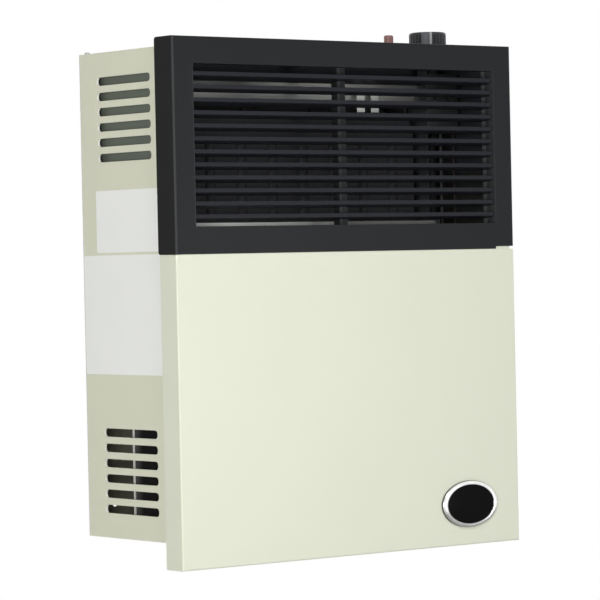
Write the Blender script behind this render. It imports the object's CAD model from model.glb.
# Wall mounted gas heater with a flue through the wall, finished for display.
# Every length is in metres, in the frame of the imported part: X runs right, Y into the wall, Z up.
from math import cos, pi, radians, sin

import bmesh
import bpy
from mathutils import Matrix, Vector


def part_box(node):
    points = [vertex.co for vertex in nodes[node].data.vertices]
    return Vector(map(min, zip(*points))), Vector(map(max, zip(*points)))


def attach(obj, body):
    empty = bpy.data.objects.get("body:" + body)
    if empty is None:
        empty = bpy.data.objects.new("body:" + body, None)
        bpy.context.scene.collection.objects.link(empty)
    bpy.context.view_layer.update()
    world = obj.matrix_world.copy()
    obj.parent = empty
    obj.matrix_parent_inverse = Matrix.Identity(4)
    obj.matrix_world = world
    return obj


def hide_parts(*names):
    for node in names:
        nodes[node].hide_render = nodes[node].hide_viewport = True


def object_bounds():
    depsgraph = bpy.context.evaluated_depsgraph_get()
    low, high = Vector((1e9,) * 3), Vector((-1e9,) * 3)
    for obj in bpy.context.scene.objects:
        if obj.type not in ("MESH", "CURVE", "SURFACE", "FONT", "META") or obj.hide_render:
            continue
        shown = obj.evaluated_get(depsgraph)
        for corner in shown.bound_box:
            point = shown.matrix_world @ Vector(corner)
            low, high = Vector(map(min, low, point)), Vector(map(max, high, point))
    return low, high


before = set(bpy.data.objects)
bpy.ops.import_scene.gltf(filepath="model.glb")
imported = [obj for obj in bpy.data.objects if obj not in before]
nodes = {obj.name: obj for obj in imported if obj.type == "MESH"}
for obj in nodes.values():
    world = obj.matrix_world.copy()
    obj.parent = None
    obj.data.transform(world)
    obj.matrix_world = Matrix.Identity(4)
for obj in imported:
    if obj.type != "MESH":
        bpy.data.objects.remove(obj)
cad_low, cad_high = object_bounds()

scene = bpy.context.scene


# ---- The view ----
# The camera stands about four metres off, to the left of the heater and level with the middle
# of it, and has a long lens.
EYE = Vector((-2.3570, -3.1093, -0.0524))
EYE_RIGHT = Vector((0.78695, -0.61664, -0.02143))
EYE_UP = Vector((0.02399, -0.00412, 0.99970))
LENS_MM = 189.34
SENSOR_MM = 36
SIGHT_END = 50

camera = bpy.data.objects.new("camera", bpy.data.cameras.new("camera"))
camera.data.sensor_width = SENSOR_MM
camera.data.lens = LENS_MM
camera.data.clip_end = SIGHT_END
eye_turn = Matrix((EYE_RIGHT, EYE_UP, EYE_RIGHT.cross(EYE_UP))).transposed().to_quaternion()
camera.rotation_mode = "QUATERNION"
camera.rotation_quaternion = eye_turn
camera.location = EYE
scene.collection.objects.link(camera)
scene.camera = camera
scene.view_settings.view_transform = "Standard"


# ---- The studio ----
# A white surround, and a pale floor 30 cm below the heater, which hangs on a wall. Two broad
# lamps light its front and its left side, and a weaker one stands to the right.
class Wire:
    """A socket of a node tree. Sums written on it add Math nodes, and node() adds any other."""

    def __init__(self, tree, socket=None):
        self.tree, self.socket = tree, socket

    def node(self, kind, settings=(), inputs=(), out=0):
        """Adds a node with its settings and its sockets' values or links, and gives one output."""
        made = self.tree.nodes.new(kind)
        for key, value in dict(settings).items():
            if key == "stops":
                ramp = made.color_ramp.elements
                while len(ramp) < len(value):
                    ramp.new(0.5)
                for stop, (place, colour) in zip(ramp, value):
                    stop.position, stop.color = place, (*colour, 1)
            else:
                setattr(made, key, value)
        for key, value in dict(inputs).items():
            socket = made.inputs[key]
            for one in value if isinstance(value, list) else [value]:
                if isinstance(one, Wire):
                    self.tree.links.new(one.socket, socket)
                else:
                    socket.default_value = one
        return Wire(self.tree, made.outputs[out]) if len(made.outputs) else made

    def sum_of(self, operation, a, b):
        return self.node("ShaderNodeMath", {"operation": operation}, {0: a, 1: b})

    def __add__(self, other):
        return self.sum_of("ADD", self, other)

    def __radd__(self, other):
        return self.sum_of("ADD", other, self)

    def __sub__(self, other):
        return self.sum_of("SUBTRACT", self, other)

    def __rsub__(self, other):
        return self.sum_of("SUBTRACT", other, self)

    def __mul__(self, other):
        return self.sum_of("MULTIPLY", self, other)

    def __rmul__(self, other):
        return self.sum_of("MULTIPLY", other, self)

    def __truediv__(self, other):
        return self.sum_of("DIVIDE", self, other)


def seen_directly(w):
    """1 for rays from the camera, a mirror or a glass, and 0 for those that only carry light."""
    rays = [w.node("ShaderNodeLightPath", out=f"Is {kind} Ray")
            for kind in ("Camera", "Glossy", "Transmission")]
    return w.node("ShaderNodeMath", {"operation": "MINIMUM"}, {0: rays[0] + rays[1] + rays[2], 1: 1.0})


SURROUND_LIGHT = 0.30
CLEAR_WHITE = (1, 1, 1, 1)
world = bpy.data.worlds.new("white_surround")
world.use_nodes = True
world.node_tree.nodes.clear()
w = Wire(world.node_tree)
shown = seen_directly(w)
glow = w.node("ShaderNodeBackground", {}, {"Color": CLEAR_WHITE,
    "Strength": shown + (1 - shown) * SURROUND_LIGHT})
w.node("ShaderNodeOutputWorld", {}, {"Surface": glow})
scene.world = world

FLOOR_Z = cad_low.z - 0.30
FLOOR_R = 5.0
FLOOR_MIDDLE = Vector((0, -0.1, 0))
SHADOW_R = 0.6
SHADOW_END = 1.5
NEAR_WHITE = 0.6

floor_mesh = bpy.data.meshes.new("floor")
shape = bmesh.new()
bmesh.ops.create_circle(shape, cap_ends=True, segments=96, radius=FLOOR_R,
    matrix=Matrix.Translation((0, 0, FLOOR_Z)))
shape.to_mesh(floor_mesh)
shape.free()
floor = bpy.data.objects.new("floor", floor_mesh)
scene.collection.objects.link(floor)

pale = bpy.data.materials.new("pale_floor")
pale.use_nodes = True
pale.node_tree.nodes.clear()
w = Wire(pale.node_tree)
place = w.node("ShaderNodeTexCoord", out="Object")
off = w.node("ShaderNodeVectorMath", {"operation": "DISTANCE"},
    {0: place, 1: FLOOR_MIDDLE + Vector((0, 0, FLOOR_Z))}, out="Value")
far = w.node("ShaderNodeMapRange", {"interpolation_type": "SMOOTHSTEP"},
    {"Value": off, "From Min": SHADOW_R, "From Max": SHADOW_END})
grain = w.node("ShaderNodeTexNoise", {}, {"Vector": place, "Scale": 60.0, "Detail": 3.0})
matt = w.node("ShaderNodeBsdfPrincipled", {}, {"Roughness": 0.85, "Specular IOR Level": 0.2,
    "Base Color": w.node("ShaderNodeMix", {"data_type": "RGBA"}, {0: grain,
        6: (0.88, 0.88, 0.87, 1), 7: (0.92, 0.92, 0.91, 1)}, out=2)})
white = w.node("ShaderNodeEmission", {}, {"Color": CLEAR_WHITE, "Strength": 1.0})
w.node("ShaderNodeOutputMaterial", {}, {"Surface": w.node("ShaderNodeMixShader", {},
    {0: seen_directly(w) * (NEAR_WHITE + far * (1 - NEAR_WHITE)), 1: matt, 2: white})})
floor_mesh.materials.append(pale)


def lamp(name, place, aim, size, watts):
    """A square lamp of this width, which hangs at one point and looks at another."""
    data = bpy.data.lights.new(name, "AREA")
    data.shape, data.size, data.energy = "SQUARE", size, watts
    made = bpy.data.objects.new(name, data)
    made.location = place
    made.rotation_mode = "QUATERNION"
    made.rotation_quaternion = (Vector(aim) - Vector(place)).to_track_quat("-Z", "Y")
    scene.collection.objects.link(made)


lamp("front_lamp", (-0.60, -2.20, 1.80), (-0.05, -0.15, -0.1), 0.8, 24)
lamp("left_lamp", (-2.20, -1.85, -0.15), (-0.25, -0.15, -0.1), 0.8, 35.5)
lamp("right_lamp", (1.84, -3.10, -0.35), (-0.2, -0.2, -0.1), 0.6, 14.2)


# ---- Casing ----
# Five folded panels of 1 mm steel hang on the wall and carry all the rest: powder coated sides,
# top and bottom, and a bare galvanised back.
def finish(name, surface, fixed=()):
    """A material whose Principled shader takes what surface(w, place) gives, by socket name, and
    the fixed values, which are the same all over."""
    made = bpy.data.materials.new(name)
    made.use_nodes = True
    made.node_tree.nodes.clear()
    w = Wire(made.node_tree)
    place = w.node("ShaderNodeTexCoord", out="Object")
    shader = w.node("ShaderNodeBsdfPrincipled", {}, {**surface(w, place), **dict(fixed)})
    w.node("ShaderNodeOutputMaterial", {}, {"Surface": shader})
    return made


def noise(w, place, scale, detail=2.0, stretch=(1, 1, 1)):
    if stretch != (1, 1, 1):
        place = w.node("ShaderNodeMapping", {}, {"Vector": place, "Scale": stretch})
    return w.node("ShaderNodeTexNoise", {}, {"Vector": place, "Scale": scale, "Detail": detail})


def between(w, share, a, b):
    a, b = [c if isinstance(c, Wire) else (*c, 1) for c in (a, b)]
    return w.node("ShaderNodeMix", {"data_type": "RGBA"}, {0: share, 6: a, 7: b}, out=2)


def bump(w, height, depth):
    return w.node("ShaderNodeBump", {}, {"Height": height, "Distance": depth, "Strength": 1.0})


PEEL = 0.00003


def powder_coat(low, high, rough):
    """Cured powder: a slow drift of shade, the fine orange peel of the film, and its gloss."""
    def surface(w, place):
        drift = noise(w, place, 7, 3)
        film = noise(w, place, 420, 2)
        return {"Base Color": between(w, drift * 0.8 + film * 0.2, low, high),
            "Roughness": rough + (film - 0.5) * 0.08, "Normal": bump(w, film, PEEL)}
    return surface


def wear(material, *names):
    """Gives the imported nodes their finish."""
    for name in names:
        for held in nodes[name].material_slots:
            held.material = material


X, Y, Z = 0, 1, 2
CASING_CORE = (0, -0.1, -0.1)
PRIMER = (0.050, 0.052, 0.044)
LOOKS_IN = -0.5


def coated_outside(coat, axis, inside=PRIMER):
    """The coat, but only a thin dark primer on the faces that look into the casing."""
    def surface(w, place):
        made = coat(w, place)
        side = w.node("ShaderNodeSeparateXYZ", {}, {0: place}, out=axis) - CASING_CORE[axis]
        faces = w.node("ShaderNodeSeparateXYZ", {},
            {0: w.node("ShaderNodeTexCoord", out="Normal")}, out=axis)
        outward = w.node("ShaderNodeMath", {"operation": "SIGN"}, {0: side}) * faces
        inner = w.node("ShaderNodeMath", {"operation": "LESS_THAN"}, {0: outward, 1: LOOKS_IN})
        made["Base Color"] = between(w, inner, made["Base Color"], inside)
        return made
    return surface


PALE_EDGE = (0.97, 0.97, 0.90)
LOOKS_FORWARD = -0.35


def punched(coat):
    """The coat gathers thick and pale on the cut ends of the slots, which look forward."""
    def surface(w, place):
        made = coat(w, place)
        forward = w.node("ShaderNodeSeparateXYZ", {},
            {0: w.node("ShaderNodeTexCoord", out="Normal")}, out="Y")
        cut = w.node("ShaderNodeMath", {"operation": "LESS_THAN"}, {0: forward, 1: LOOKS_FORWARD})
        made["Base Color"] = between(w, cut, made["Base Color"], PALE_EDGE)
        return made
    return surface


cream = powder_coat((0.655, 0.665, 0.522), (0.685, 0.695, 0.548), 0.42)
wear(finish("casing_paint_sides", punched(coated_outside(cream, X))), "side_panel_left",
    "side_panel_right")
wear(finish("casing_paint_ends", coated_outside(cream, Z)), "top_panel", "bottom_panel")


def spangle(low, high, rough, cell):
    """Hot dipped sheet: the coating's crystals, each with its own shade and gloss."""
    def surface(w, place):
        crystal = w.node("ShaderNodeTexVoronoi", {}, {"Vector": place, "Scale": 1 / cell},
            out="Color")
        shade = w.node("ShaderNodeSeparateColor", {}, {0: crystal}, out=0)
        rolled = noise(w, place, 90, 3, (0.2, 1, 6))
        return {"Base Color": between(w, shade * 0.6 + rolled * 0.4, low, high),
            "Roughness": rough + shade * 0.10 + (rolled - 0.5) * 0.12,
            "Normal": bump(w, rolled, 0.00002)}
    return surface


bare_zinc = spangle((0.42, 0.44, 0.45), (0.60, 0.62, 0.63), 0.38, 0.009)
dusty_zinc = (0.32, 0.31, 0.24)
wear(finish("galvanised_steel", coated_outside(bare_zinc, Y, dusty_zinc), {"Metallic": 0.6}),
    "back_panel")


# ---- Casing screws ----
# Zinc plated pan heads with a cross recess hold the top to the side panels.
# Each head is turned a little differently, as a hand tool leaves it.
HEAD_R = 0.0036
HEAD_H = 0.0026
HEAD_DOME = 0.62
CROSS_LONG, CROSS_WIDE = 1.15, 0.24
CROSS_RISE = 1.05
SHANK_R = 0.0017
SHANK = 0.007


def screw_tree():
    """A domed head with a cross cut into it and a plain shank, on every point of the seats."""
    tree = bpy.data.node_groups.new("pan_head_screws", "GeometryNodeTree")
    face = tree.interface
    face.new_socket("Seats", in_out="INPUT", socket_type="NodeSocketGeometry")
    for name, value in (("Head radius", HEAD_R), ("Head height", HEAD_H), ("Shank radius", SHANK_R),
            ("Shank length", SHANK)):
        face.new_socket(name, in_out="INPUT", socket_type="NodeSocketFloat").default_value = value
    face.new_socket("Facing", in_out="INPUT", socket_type="NodeSocketVector")
    face.new_socket("Seed", in_out="INPUT", socket_type="NodeSocketInt").default_value = 3
    face.new_socket("Finish", in_out="INPUT", socket_type="NodeSocketMaterial")
    face.new_socket("Screws", in_out="OUTPUT", socket_type="NodeSocketGeometry")
    g = Wire(tree)
    entry = tree.nodes.new("NodeGroupInput")
    given = {s.name: Wire(tree, s) for s in entry.outputs if s.name}
    head_r, head_h = given["Head radius"], given["Head height"]
    blank = g.node("GeometryNodeMeshCylinder", {"fill_type": "NGON"},
        {"Vertices": 28, "Side Segments": 5, "Radius": head_r, "Depth": head_h})
    spot = g.node("GeometryNodeInputPosition")
    high = g.node("ShaderNodeSeparateXYZ", {}, {0: spot}, out="Z") / head_h + 0.5
    dome = g.node("ShaderNodeMath", {"operation": "SQRT"}, {0: 1 - high * high * HEAD_DOME})
    half = head_h * 0.5
    domed = g.node("GeometryNodeSetPosition", {}, {"Geometry": blank, "Position":
        g.node("ShaderNodeVectorMath", {"operation": "MULTIPLY"},
            {0: spot, 1: g.node("ShaderNodeCombineXYZ", {}, {0: dome, 1: dome, 2: 1.0})})})
    lifted = g.node("GeometryNodeTransform", {}, {"Geometry": domed,
        "Translation": g.node("ShaderNodeCombineXYZ", {}, {2: half})})
    wings = []
    for long, wide in ((CROSS_LONG, CROSS_WIDE), (CROSS_WIDE, CROSS_LONG)):
        wing = g.node("GeometryNodeMeshCube", {}, {"Size": g.node("ShaderNodeCombineXYZ", {},
            {0: head_r * long, 1: head_r * wide, 2: head_h})})
        wings.append(g.node("GeometryNodeTransform", {}, {"Geometry": wing,
            "Translation": g.node("ShaderNodeCombineXYZ", {}, {2: head_h * CROSS_RISE})}))
    cut = g.node("GeometryNodeMeshBoolean", {"operation": "DIFFERENCE", "solver": "EXACT"},
        {"Mesh 1": lifted, "Mesh 2": wings})
    shank = g.node("GeometryNodeMeshCylinder", {"fill_type": "NGON"},
        {"Vertices": 16, "Radius": given["Shank radius"], "Depth": given["Shank length"]})
    shank = g.node("GeometryNodeTransform", {}, {"Geometry": shank,
        "Translation": g.node("ShaderNodeCombineXYZ", {}, {2: given["Shank length"] * -0.5})})
    whole = g.node("GeometryNodeJoinGeometry", {}, {"Geometry": [cut, shank]})
    points = g.node("GeometryNodeMeshToPoints", {}, {"Mesh": given["Seats"]})
    aim = g.node("FunctionNodeAlignRotationToVector", {"axis": "Z"},
        {"Vector": given["Facing"]})
    spin = g.node("FunctionNodeRandomValue", {"data_type": "FLOAT"},
        {2: 0.0, 3: 1.5, "Seed": given["Seed"]}, out=1)
    turned = g.node("FunctionNodeRotateRotation", {"rotation_space": "LOCAL"}, {0: aim,
        1: g.node("FunctionNodeEulerToRotation", {},
            {0: g.node("ShaderNodeCombineXYZ", {}, {2: spin})})})
    placed = g.node("GeometryNodeInstanceOnPoints", {}, {"Points": points, "Instance": whole,
        "Rotation": turned})
    real = g.node("GeometryNodeRealizeInstances", {}, {"Geometry": placed})
    done = g.node("GeometryNodeSetMaterial", {}, {"Geometry": real, "Material": given["Finish"]})
    g.node("NodeGroupOutput", {}, {"Screws": done})
    return tree


def grown(name, base, tree, values):
    """The base mesh as its node tree grows it, as a plain mesh at the origin."""
    grower = bpy.data.objects.new(name + "_base", base)
    scene.collection.objects.link(grower)
    mod = grower.modifiers.new("grow", "NODES")
    mod.node_group = tree
    for item in tree.interface.items_tree:
        if item.in_out == "INPUT" and item.name in values:
            mod[item.identifier] = values[item.name]
    bpy.context.view_layer.update()
    ready = grower.evaluated_get(bpy.context.evaluated_depsgraph_get())
    mesh = bpy.data.meshes.new_from_object(ready)
    grower.modifiers.remove(mod)
    bpy.data.objects.remove(grower)
    made = bpy.data.objects.new(name, mesh)
    scene.collection.objects.link(made)
    return made


zinc_plate = finish("zinc_plate", spangle((0.36, 0.37, 0.36), (0.50, 0.50, 0.48), 0.38, 0.0012),
    {"Metallic": 0.9})
pan_heads = screw_tree()


def screws(name, places, facing, seed, *stands_for):
    """Pan head screws at these places, where their heads' undersides lie."""
    base = bpy.data.meshes.new(name)
    base.from_pydata([tuple(p) for p in places], [], [])
    made = grown(name, base, pan_heads, {"Facing": facing, "Seed": seed, "Finish": zinc_plate})
    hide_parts(*stands_for)
    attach(made, "heater")


TOP_SCREW_X = 0.241
TOP_SCREW_Y = (-0.158, -0.0085)
top_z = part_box("top_panel")[1].z
screws("casing_screw_heads", [(s * TOP_SCREW_X, y, top_z) for s in (-1, 1) for y in TOP_SCREW_Y],
    (0, 0, 1), 3, "casing_screws")


# ---- Casing labels ----
# Two blank stickers of white coated paper lie on the left side panel, one above the other.
# Each is 0.12 mm thick, with rounded corners and edges that lift a hair.
SIDE_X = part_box("side_panel_left")[0].x
PAPER = 0.00012
PAPER_CORNER = 0.003
PAPER_EDGE = ((0, 0.00002), (0, 0.9), (0.0006, 1.0))


def paper_surface(w, place):
    fibre = noise(w, place, 700, 4)
    cloud = noise(w, place, 25, 2)
    return {"Base Color": between(w, fibre * 0.4 + cloud * 0.6, (0.835, 0.850, 0.820),
        (0.895, 0.905, 0.875)), "Roughness": 0.42 + cloud * 0.12,
        "Normal": bump(w, fibre, 0.00001)}


label_paper = finish("label_paper", paper_surface)


def rounded_corners(low, high, r, steps=6):
    """Corner points of a rectangle in two coordinates, counterclockwise."""
    middles = ((high[0] - r, high[1] - r, 0), (low[0] + r, high[1] - r, 90),
        (low[0] + r, low[1] + r, 180), (high[0] - r, low[1] + r, 270))
    return [(u + r * cos(radians(a + 90 * i / steps)), v + r * sin(radians(a + 90 * i / steps)))
        for u, v, a in middles for i in range(steps + 1)]


def piece(name, mesh, material, body):
    """Turns the bmesh into an object that rides on the body."""
    data = bpy.data.meshes.new(name)
    mesh.to_mesh(data)
    mesh.free()
    data.materials.append(material)
    made = bpy.data.objects.new(name, data)
    scene.collection.objects.link(made)
    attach(made, body)
    return made


def sticker(name, low, high):
    """A sheet of paper on the left side panel, between two corners in depth and height. Its
    edge is given by how far it lies inside the outline, and by a share of the thickness."""
    rim = rounded_corners(low, high, PAPER_CORNER)
    mesh = bmesh.new()
    rings = []
    for inset, lift in PAPER_EDGE:
        middle = ((low[0] + high[0]) / 2, (low[1] + high[1]) / 2)
        shrink = [1 - 2 * inset / (high[k] - low[k]) for k in (0, 1)]
        rings.append([mesh.verts.new((SIDE_X - PAPER * lift, middle[0] + (u - middle[0]) * shrink[0],
            middle[1] + (v - middle[1]) * shrink[1])) for u, v in rim])
    for a, b in zip(rings, rings[1:]):
        for i in range(len(rim)):
            j = (i + 1) % len(rim)
            mesh.faces.new((a[i], a[j], b[j], b[i]))
    mesh.faces.new(rings[-1])
    bmesh.ops.recalc_face_normals(mesh, faces=mesh.faces)
    for face in mesh.faces:
        if len(face.verts) > 4 and face.normal.x > 0:
            bmesh.ops.reverse_faces(mesh, faces=mesh.faces)
            break
    piece(name, mesh, label_paper, "heater")


sticker("upper_label", (-0.160, -0.035), (-0.029, 0.038))
sticker("lower_label", (-0.1595, -0.178), (-0.0015, -0.038))


# ---- Air path ----
# Bare aluminised sheet: the liners behind the upper slots, the wall of the valve compartment, the
# heat shield and the deflector over the chamber, which show as bright edges through the louvres.
def rolled_sheet(low, high, rough):
    def surface(w, place):
        streak = noise(w, place, 60, 4, (0.15, 1, 8))
        cloud = noise(w, place, 18, 2)
        return {"Base Color": between(w, streak * 0.5 + cloud * 0.5, low, high),
            "Roughness": rough + (streak - 0.5) * 0.16, "Normal": bump(w, streak, 0.00003)}
    return surface


def shift(w, place, axis, start, end):
    """How far a point lies on its way from the start to the end along an axis, from 0 to 1."""
    where = w.node("ShaderNodeSeparateXYZ", {}, {0: place}, out=axis)
    return w.node("ShaderNodeMapRange", {"interpolation_type": "SMOOTHSTEP"},
        {"Value": where, "From Min": start, "From Max": end})


SOOT = (0.024, 0.026, 0.031)


def dulled_sheet(w, place, stops):
    """Aluminised sheet that the heat has dulled: the stops say how far it still shines, from 0
    to 1, at places across the heater."""
    made = rolled_sheet((0.80, 0.81, 0.76), (0.94, 0.95, 0.90), 0.50)(w, place)
    across = w.node("ShaderNodeSeparateXYZ", {}, {0: place}, out="X") + 0.5
    shine = w.node("ShaderNodeValToRGB", {"stops": [(x + 0.5, (share,) * 3) for x, share in stops]},
        {"Fac": across})
    made["Base Color"] = w.node("ShaderNodeMix", {"data_type": "RGBA", "blend_type": "MULTIPLY"},
        {0: 1.0, 6: made["Base Color"], 7: shine}, out=2)
    return made


DULLED_Z = (0.153, 0.157)
BEND_Z = (0.1629, 0.1645)


def smoked_deflector(w, place):
    """The hot air has dulled the face more under its bend than at its foot, and stained all above."""
    made = dulled_sheet(w, place, ((-0.165, 0.72), (-0.106, 0.48), (-0.046, 0.69), (0.015, 0.82),
        (0.061, 1.0), (0.124, 0.52), (0.156, 0.37)))
    upper = dulled_sheet(w, place, ((-0.167, 0.42), (-0.108, 0.27), (-0.048, 0.90), (0.012, 1.0),
        (0.060, 0.86), (0.122, 0.38), (0.154, 0.30)))
    face = between(w, shift(w, place, "Z", *DULLED_Z), made["Base Color"], upper["Base Color"])
    made["Base Color"] = between(w, shift(w, place, "Z", *BEND_Z), face, SOOT)
    return made


WING_X = (-0.2340, -0.2350)
wing_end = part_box("heat_shield")[1].y
hem_y = wing_end - 0.0030
fade_y = (wing_end - 0.004, wing_end - 0.020)


def smoked_shield(w, place):
    """Its left wing is blackened by the heat, but for the hem at the wing's rear edge."""
    made = dulled_sheet(w, place, ((-0.23, 0.76), (-0.20, 0.86), (-0.146, 1.0), (-0.10, 0.83),
        (-0.04, 0.62), (0.0, 0.58), (0.02, 0.30)))
    wing = shift(w, place, "X", *WING_X)
    fade = between(w, shift(w, place, "Y", *fade_y), (0.060, 0.060, 0.055), (0.006, 0.006, 0.006))
    hem = shift(w, place, "Y", hem_y, hem_y + 0.0004)
    dark = wing * (1 - hem)
    made["Base Color"] = between(w, dark, made["Base Color"], fade)
    made["Metallic"] = 0.35 - dark * 0.35
    made["Roughness"] = made["Roughness"] + dark * 0.3
    return made


wear(finish("aluminised_steel", rolled_sheet((0.40, 0.41, 0.38), (0.54, 0.55, 0.52), 0.50),
    {"Metallic": 0.35}), "air_duct", "exhaust_collar", "intake_collar")
wear(finish("smoked_deflector", smoked_deflector, {"Metallic": 0.8}), "air_deflector")
wear(finish("smoked_shield", smoked_shield, {"Specular IOR Level": 0.1}), "heat_shield")
stained_sheet = rolled_sheet((0.102, 0.120, 0.094), (0.165, 0.188, 0.150), 0.62)
liner_inside = (0.050, 0.053, 0.060)
dull_metal = {"Metallic": 0.15}
wear(finish("stained_aluminised", coated_outside(stained_sheet, X, liner_inside), dull_metal),
    "side_liners")
wear(finish("scorched_aluminised", rolled_sheet((0.150, 0.148, 0.115), (0.230, 0.226, 0.180), 0.62),
    dull_metal), "chamber_brackets")
wear(finish("sooted_steel", rolled_sheet((0.058, 0.062, 0.066), (0.096, 0.102, 0.108), 0.62),
    dull_metal), "valve_partition")


# ---- Combustion chamber ----
# Two pressed halves in matt heat resistant black, bolted together over a fibre gasket.
# A door with a round sight glass closes the front over the burner.
def heat_paint(w, place):
    speck = noise(w, place, 900, 3)
    stain = noise(w, place, 14, 4)
    return {"Base Color": between(w, stain * 0.7 + speck * 0.3, (0.0090, 0.0096, 0.0125),
        (0.0195, 0.0203, 0.0245)), "Roughness": 0.68 + (speck - 0.5) * 0.2,
        "Normal": bump(w, speck, 0.00004)}


chamber_paint = finish("chamber_paint", heat_paint)
wear(chamber_paint, "chamber_front_shell", "chamber_rear_shell", "burner_door", "chamber_bolts")


def fibre(w, place):
    strand = noise(w, place, 1500, 4, (1, 0.3, 1))
    return {"Base Color": between(w, strand, (0.36, 0.34, 0.29), (0.56, 0.54, 0.48)),
        "Roughness": 0.92, "Normal": bump(w, strand, 0.0001)}


wear(finish("gasket_fibre", fibre), "chamber_gasket")
wear(zinc_plate, "sight_glass_ring")

DOOR_SCREW_INSET = 0.006
door_low, door_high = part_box("burner_door")
door_x = (door_low.x + door_high.x) / 2
door_reach = door_high.x - door_x - DOOR_SCREW_INSET
screws("door_screw_heads", [(door_x + s * door_reach, door_low.y, z) for s in (-1, 0, 1)
    for z in (door_low.z + DOOR_SCREW_INSET, door_high.z - DOOR_SCREW_INSET)], (0, -1, 0), 11,
    "door_screws")


def heat_glass(w, place):
    haze = noise(w, place, 120, 3)
    return {"Base Color": between(w, haze, (0.84, 0.88, 0.84), (0.93, 0.95, 0.92)),
        "Roughness": haze * 0.06}


wear(finish("sight_glass", heat_glass, {"Transmission Weight": 1.0, "IOR": 1.47}), "sight_glass")


# ---- Burner and pilot ----
# A slotted steel tube on two feet, with a brass injector at its right end.
# The pilot head, spark electrode and thermocouple stand on one angle in front of it.
def scaled_steel(w, place):
    scale = noise(w, place, 240, 4)
    return {"Base Color": between(w, scale, (0.26, 0.25, 0.23), (0.44, 0.42, 0.39)),
        "Roughness": 0.45 + scale * 0.2, "Normal": bump(w, scale, 0.00003)}


def turned_metal(low, high, rough):
    """Turned or drawn metal, whose tool marks run round or along the piece."""
    def surface(w, place):
        mark = noise(w, place, 150, 3, (1, 1, 14))
        return {"Base Color": between(w, mark, low, high),
            "Roughness": rough + (mark - 0.5) * 0.16, "Normal": bump(w, mark, 0.00001)}
    return surface


wear(finish("burner_steel", scaled_steel, {"Metallic": 0.8}), "main_burner")
brass = finish("brass", turned_metal((0.62, 0.42, 0.16), (0.76, 0.55, 0.24), 0.28), {"Metallic": 1.0})
copper = finish("browned_copper", turned_metal((0.050, 0.030, 0.022), (0.080, 0.046, 0.034), 0.55),
    {"Metallic": 0.4})
tube = finish("oxidised_tube", turned_metal((0.045, 0.046, 0.048), (0.075, 0.076, 0.078), 0.60),
    {"Metallic": 0.4})
wear(brass, "burner_injector", "inlet_fitting", "valve_rotor")
wear(copper, "thermocouple", "thermostat_bulb")
wear(tube, "burner_tube", "pilot_tube", "inlet_tube")
wear(zinc_plate, "pilot_burner")


def glazed(w, place):
    glaze = noise(w, place, 260, 2)
    return {"Base Color": between(w, glaze, (0.78, 0.76, 0.70), (0.86, 0.85, 0.80)),
        "Roughness": 0.16 + glaze * 0.08}


def silicone(w, place):
    ply = noise(w, place, 900, 2)
    return {"Base Color": between(w, ply, (0.016, 0.009, 0.009), (0.024, 0.013, 0.012)),
        "Roughness": 0.5 + ply * 0.1, "Normal": bump(w, ply, 0.00003)}


wear(finish("electrode_ceramic", glazed), "spark_electrode")
wear(finish("lead_silicone", silicone), "ignition_lead")


# ---- Gas valve ----
# A die cast body hangs on a phosphated steel bracket from the top panel.
# Its turned stem stands up through the panel and carries the knob.
def die_cast(w, place):
    skin = noise(w, place, 800, 4)
    flow = noise(w, place, 30, 3)
    return {"Base Color": between(w, flow * 0.6 + skin * 0.4, (0.050, 0.053, 0.056),
        (0.080, 0.083, 0.086)), "Roughness": 0.58 + (skin - 0.5) * 0.2,
        "Normal": bump(w, skin, 0.00006)}


wear(finish("valve_alloy", die_cast, {"Metallic": 0.4}), "gas_valve")
wear(finish("phosphated_steel", spangle((0.055, 0.055, 0.052), (0.085, 0.085, 0.080), 0.62,
    0.0008), {"Metallic": 0.2}), "valve_bracket", "valve_stem")


# ---- Front cover ----
# A powder coated lower panel, and over it a satin black frame with twelve louvre blades.
# The blades' ends sit in slots of the frame's returns, and a comb holds them at mid span.
wear(finish("panel_paint", powder_coat((0.672, 0.694, 0.562), (0.696, 0.718, 0.584), 0.38)),
    "front_panel")


def black_coat(low, high):
    def surface(w, place):
        drift = noise(w, place, 6, 3)
        film = noise(w, place, 420, 2)
        return {"Base Color": between(w, drift * 0.7 + film * 0.3, low, high),
            "Roughness": 0.34 + (film - 0.5) * 0.1, "Normal": bump(w, film, PEEL)}
    return surface


satin_black = black_coat((0.0165, 0.0175, 0.0190), (0.0205, 0.0215, 0.0230))
blade_black = black_coat((0.0170, 0.0182, 0.0230), (0.0210, 0.0222, 0.0275))


BLUR = 0.0003


def within(w, value, start, end):
    """1 where the value lies between the start and the end, and 0 outside them."""
    rise = w.node("ShaderNodeMapRange", {},
        {"Value": value, "From Min": start - BLUR, "From Max": start})
    fall = w.node("ShaderNodeMapRange", {},
        {"Value": value, "From Min": end + BLUR, "From Max": end})
    return rise * fall


def worn_folds(*folds):
    """Black paint, rubbed thin on upright folds. Each fold has its span on both sides of the
    middle, its span in depth, its span in height and the shade that it is worn to."""
    def surface(w, place):
        made = satin_black(w, place)
        across = w.node("ShaderNodeMath", {"operation": "ABSOLUTE"},
            {0: w.node("ShaderNodeSeparateXYZ", {}, {0: place}, out="X")})
        deep = w.node("ShaderNodeSeparateXYZ", {}, {0: place}, out="Y")
        high = w.node("ShaderNodeSeparateXYZ", {}, {0: place}, out="Z")
        for sides, depth, height, worn in folds:
            rubbed = within(w, across, *sides) * within(w, deep, *depth) * within(w, high, *height)
            shade = (worn, worn * 1.03, worn * 1.06)
            made["Base Color"] = between(w, rubbed, made["Base Color"], shade)
        return made
    return surface


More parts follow.
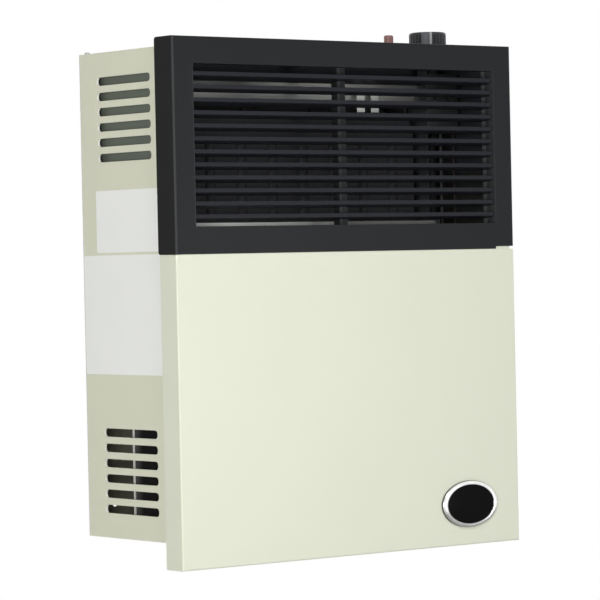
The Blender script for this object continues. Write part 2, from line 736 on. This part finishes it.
FOLD, SHEET = 0.002, 0.001
JAMB_X, JAMB_DEPTH, JAMB_LIP = 0.228, 0.016, 0.0045
COMB_EDGE, COMB_EDGE_DEPTH = 0.0026, 0.0024
frame_low, frame_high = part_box("grille_frame")
comb_low, comb_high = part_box("louvre_comb")
front_y, rear_y, lip_y = frame_low.y, frame_high.y, frame_low.y + JAMB_DEPTH
side_x, comb_x = frame_high.x, comb_high.x
whole = (frame_low.z - FOLD, frame_high.z + FOLD)
opening = (comb_low.z, comb_high.z)
jamb = (JAMB_X - SHEET, JAMB_X + SHEET)
black_gloss = {"Specular IOR Level": 0.06}
blades = [f"louvre_{k:02d}" for k in range(1, 13)]
wear(finish("frame_paint", worn_folds(
    ((side_x - FOLD, side_x), (front_y - FOLD, front_y + FOLD * 0.9), whole, 0.044),
    ((side_x - FOLD * 0.1, side_x + FOLD), (front_y + FOLD, rear_y + FOLD), whole, 0.0098),
    (jamb, (front_y + SHEET, lip_y), opening, 0.042),
    (jamb, (front_y - FOLD, front_y + SHEET), opening, 0.034),
    ((JAMB_X - JAMB_LIP, JAMB_X), (lip_y - SHEET, lip_y + SHEET), opening, 0.12)), black_gloss),
    "grille_frame")
wear(finish("comb_paint", worn_folds(
    ((0, comb_x), (comb_low.y - FOLD, comb_high.y), whole, 0.026),
    ((comb_x - COMB_EDGE, comb_x), (comb_low.y - FOLD, comb_low.y + COMB_EDGE_DEPTH), whole,
        0.045)), black_gloss), "louvre_comb")
wear(finish("grille_paint", blade_black, black_gloss), *blades)
wear(zinc_plate, "cover_brackets")

COVER_SCREW_X, COVER_SCREW_Y, COVER_SCREW_Z = 0.1799, -0.161, -0.3715
screws("cover_screw_heads", [(s * COVER_SCREW_X, COVER_SCREW_Y, COVER_SCREW_Z) for s in (-1, 1)],
    (0, 0, -1), 7, "cover_screws")


# ---- Badge ----
# A blank oval badge: a chromed rim with a rounded section round a domed black enamel face.
# Both are pressed on the lower panel near its right corner.
FACE_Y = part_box("front_panel")[0].y
BADGE_X, BADGE_Z = 0.1757, -0.350
BADGE_A, BADGE_B = 0.0443, 0.0286
INSERT_A, INSERT_B = 0.0372, 0.0237
RIM_T = 0.0040
BADGE_STEPS = 160
GRIME_RISE = (RIM_T * 0.80, RIM_T * 0.40)
GRIME_X = (BADGE_X + 0.018, BADGE_X + 0.036)
TARNISH_Z = (BADGE_Z - 0.003, BADGE_Z - 0.012)
turns = [2 * pi * i / BADGE_STEPS for i in range(BADGE_STEPS)]


def oval_ring(mesh, inward, rise, share=1.0):
    """A ring of vertices between the rim's outline, at 0 inward, and the insert's, at 1."""
    a = (BADGE_A + (INSERT_A - BADGE_A) * inward) * share
    b = (BADGE_B + (INSERT_B - BADGE_B) * inward) * share
    return [mesh.verts.new((BADGE_X + a * cos(t), FACE_Y - rise, BADGE_Z + b * sin(t)))
        for t in turns]


def rings_closed(mesh, rings):
    """Faces between each ring of vertices and the next."""
    for a, b in zip(rings, rings[1:]):
        for i in range(len(a)):
            j = (i + 1) % len(a)
            mesh.faces.new((a[i], b[i], b[j], a[j]))


profile = [(0, 0), (0, 0.25), (0.03, 0.36)]
profile += [(0.55 - 0.52 * cos(radians(a)), 0.36 + 0.64 * sin(radians(a))) for a in range(15, 91, 15)]
profile += [(0.80, 0.985), (0.94, 0.94), (1.0, 0.86), (1.0, 0)]
mesh = bmesh.new()
rings_closed(mesh, [oval_ring(mesh, inward, RIM_T * rise) for inward, rise in profile + profile[:1]])
bmesh.ops.remove_doubles(mesh, verts=mesh.verts, dist=1e-6)
bmesh.ops.recalc_face_normals(mesh, faces=mesh.faces)
for f in mesh.faces:
    f.smooth = True


def chrome_plate(w, place):
    """Bright, but tarnished round its lower half, and dull with grime at the foot of its slope."""
    haze = noise(w, place, 90, 3)
    foot = shift(w, place, "Y", FACE_Y - GRIME_RISE[0], FACE_Y - GRIME_RISE[1]) * (
        1 - shift(w, place, "X", *GRIME_X))
    low = shift(w, place, "Z", *TARNISH_Z)
    plate = between(w, haze, (0.74, 0.74, 0.73), (0.86, 0.86, 0.85))
    tarnish = between(w, haze, (0.34, 0.34, 0.33), (0.44, 0.44, 0.43))
    return {"Base Color": between(w, foot, between(w, low, plate, tarnish), (0.12, 0.12, 0.115)),
        "Roughness": 0.12 + haze * 0.08 + foot * 0.25}


rim = piece("badge_rim", mesh, finish("badge_chrome", chrome_plate, {"Metallic": 1.0}), "heater")
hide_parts("badge_bezel")

FACE_DOME = 0.0006
FACE_RISE = 0.0033
FACE_FIT = 0.995
mesh = bmesh.new()
rings = [oval_ring(mesh, 1, 0, FACE_FIT)]
rings += [oval_ring(mesh, 1, FACE_RISE + FACE_DOME * (1 - share ** 2), share * FACE_FIT)
    for share in (1.0, 0.97, 0.9, 0.8, 0.65, 0.5, 0.35, 0.2)]
rings_closed(mesh, rings)
mesh.faces.new(rings[-1])
mesh.faces.new(rings[0])
bmesh.ops.recalc_face_normals(mesh, faces=mesh.faces)
for f in mesh.faces:
    f.smooth = len(f.verts) == 4


def enamel(w, place):
    fleck = noise(w, place, 2600, 2)
    return {"Base Color": between(w, fleck, (0.0025, 0.0025, 0.0030), (0.0060, 0.0060, 0.0068)),
        "Roughness": 0.10 + fleck * 0.05}


face = piece("badge_face", mesh, finish("badge_enamel", enamel, {"Specular IOR Level": 0.03}),
    "heater")
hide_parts("badge_insert")


# ---- Thermostat knob ----
# A moulded black knob with flutes, and a smooth pad beside the pale line of its pointer.
# The line is thick paint, which runs up the side and over the edge to the rim of the top.
KNOB_X, KNOB_Y = 0.201, -0.112
KNOB_R = 0.023
KNOB_EDGE = 0.003
FLUTE_DEPTH = 0.0009
HANDLED = 0.002
POINTER = radians(-120)
PAD = radians(-135)
PAD_HALF = radians(15)


def moulded_black(w, place):
    spark = noise(w, place, 1500, 3)
    flow = noise(w, place, 60, 2)
    return {"Base Color": between(w, flow, (0.012, 0.012, 0.013), (0.018, 0.018, 0.019)),
        "Roughness": 0.36 + (spark - 0.5) * 0.14, "Normal": bump(w, spark, 0.00002)}


def handled_black(w, place):
    """The ribs between the flutes and the pad by the pointer are rubbed paler by fingers."""
    made = moulded_black(w, place)
    out = w.node("ShaderNodeVectorMath", {"operation": "MULTIPLY_ADD"},
        {0: place, 1: (1, 1, 0), 2: (-KNOB_X, -KNOB_Y, 0)})
    reach = w.node("ShaderNodeVectorMath", {"operation": "LENGTH"}, {0: out}, out="Value")
    rib = w.node("ShaderNodeMapRange", {"interpolation_type": "SMOOTHSTEP"},
        {"Value": reach, "From Min": KNOB_R - FLUTE_DEPTH, "From Max": KNOB_R - 0.0001})
    along = w.node("ShaderNodeVectorMath", {"operation": "DOT_PRODUCT"},
        {0: out, 1: (cos(PAD), sin(PAD), 0)}, out="Value")
    pad = w.node("ShaderNodeMapRange", {"interpolation_type": "SMOOTHSTEP"},
        {"Value": along / reach, "From Min": cos(PAD_HALF * 1.1), "From Max": cos(PAD_HALF * 0.9)})
    rubbed = between(w, rib, (0.002, 0.002, 0.0026), (0.038, 0.040, 0.046))
    side = w.node("ShaderNodeMath", {"operation": "GREATER_THAN"}, {0: reach, 1: KNOB_R - HANDLED})
    made["Base Color"] = between(w, side, made["Base Color"],
        between(w, pad, rubbed, (0.100, 0.102, 0.120)))
    return made


wear(finish("knob_plastic", handled_black, {"Specular IOR Level": 0.25}), "control_knob")
wear(finish("igniter_plastic", moulded_black), "piezo_igniter", "piezo_nut")

LINE_W = 0.0027
LINE_T = 0.00012
LINE_FOOT = 0.003
knob_low, knob_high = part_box("control_knob")
line_low, line_bend = knob_low.z + LINE_FOOT, knob_high.z - KNOB_EDGE
path = [(KNOB_R, line_low + (line_bend - line_low) * i / 6) for i in range(7)]
path += [(KNOB_R - KNOB_EDGE * (1 - cos(radians(a))), knob_high.z - KNOB_EDGE * (1 - sin(radians(a))))
    for a in range(15, 91, 15)]


def line_surface(w, place):
    brush = noise(w, place, 900, 3)
    return {"Base Color": between(w, brush, (0.33, 0.33, 0.34), (0.41, 0.41, 0.42)),
        "Roughness": 0.5 + brush * 0.1}


def pointer_line():
    """A bar of paint that follows the path's radius and height, with its edges bevelled."""
    mesh = bmesh.new()
    out = Vector((cos(POINTER), sin(POINTER), 0))
    side = Vector((-sin(POINTER), cos(POINTER), 0))
    middle = Vector((KNOB_X, KNOB_Y, 0))
    section = ((-1, -1), (-1, 0.7), (-0.8, 1), (0.8, 1), (1, 0.7), (1, -1))
    rows = []
    for k, (r, z) in enumerate(path):
        climb = Vector(path[min(k + 1, len(path) - 1)]) - Vector(path[max(k - 1, 0)])
        lift = Vector((climb.y, -climb.x)).normalized() * LINE_T
        row = []
        for across, depth in section:
            spot = middle + out * (r + lift.x * depth) + side * (LINE_W / 2 * across)
            row.append(mesh.verts.new((spot.x, spot.y, min(z + lift.y * depth, knob_high.z))))
        rows.append(row)
    for a, b in zip(rows, rows[1:]):
        for i in range(len(section)):
            j = (i + 1) % len(section)
            mesh.faces.new((a[i], a[j], b[j], b[i]))
    mesh.faces.new(rows[0])
    mesh.faces.new(rows[-1])
    bmesh.ops.recalc_face_normals(mesh, faces=mesh.faces)
    return mesh


piece("knob_pointer_line", pointer_line(), finish("pointer_paint", line_surface), "knob")


# ---- Igniter button ----
# A glossy push button moulded in dark red plastic, left of the knob.
# It slides in the black neck of the piezo igniter, which a nut holds on the top panel.
def red_plastic(w, place):
    swirl = noise(w, place, 200, 2)
    return {"Base Color": between(w, swirl, (0.200, 0.072, 0.062), (0.240, 0.092, 0.080)),
        "Roughness": 0.33 + swirl * 0.06}


wear(finish("button_plastic", red_plastic, {"Specular IOR Level": 0.9}), "igniter_button")
